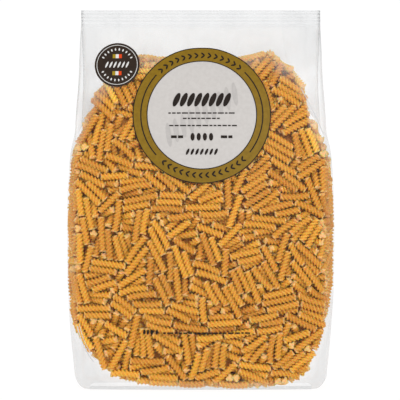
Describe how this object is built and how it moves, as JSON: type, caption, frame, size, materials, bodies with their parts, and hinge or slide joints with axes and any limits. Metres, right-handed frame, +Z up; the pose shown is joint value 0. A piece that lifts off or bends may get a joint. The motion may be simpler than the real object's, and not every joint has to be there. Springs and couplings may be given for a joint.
{
  "type": "pasta packet",
  "caption": "Clear side-gusseted bag of dried spiral pasta, standing on its flat base, with a ribbed top seal and a round printed label.",
  "frame": {"origin": "middle of the base, on the surface that the packet stands on", "axes": "+Z up along the packet to its top seal; -Y out of the printed front panel; +X to the right as seen from the front"},
  "size_m": [0.3052, 0.1076, 0.428],
  "materials": {
    "pasta_in_film": "dried durum wheat pasta seen through clear hazy film",
    "film": "thin clear film with a slight haze",
    "pasta": "dry, smooth durum wheat pasta",
    "ring_ink": "mustard print on film",
    "disc_ink": "translucent white print on film",
    "badge_ink": "dark brown print on film",
    "dark_ink": "near-black print on film",
    "accent_ink": "small printed marks in olive, white and red"
  },
  "bodies": {
    "root": {"filled_bag": "pasta_in_film", "label_ring": "ring_ink", "label_disc": "disc_ink", "round_badge": "badge_ink"}
  },
  "joints": []
}
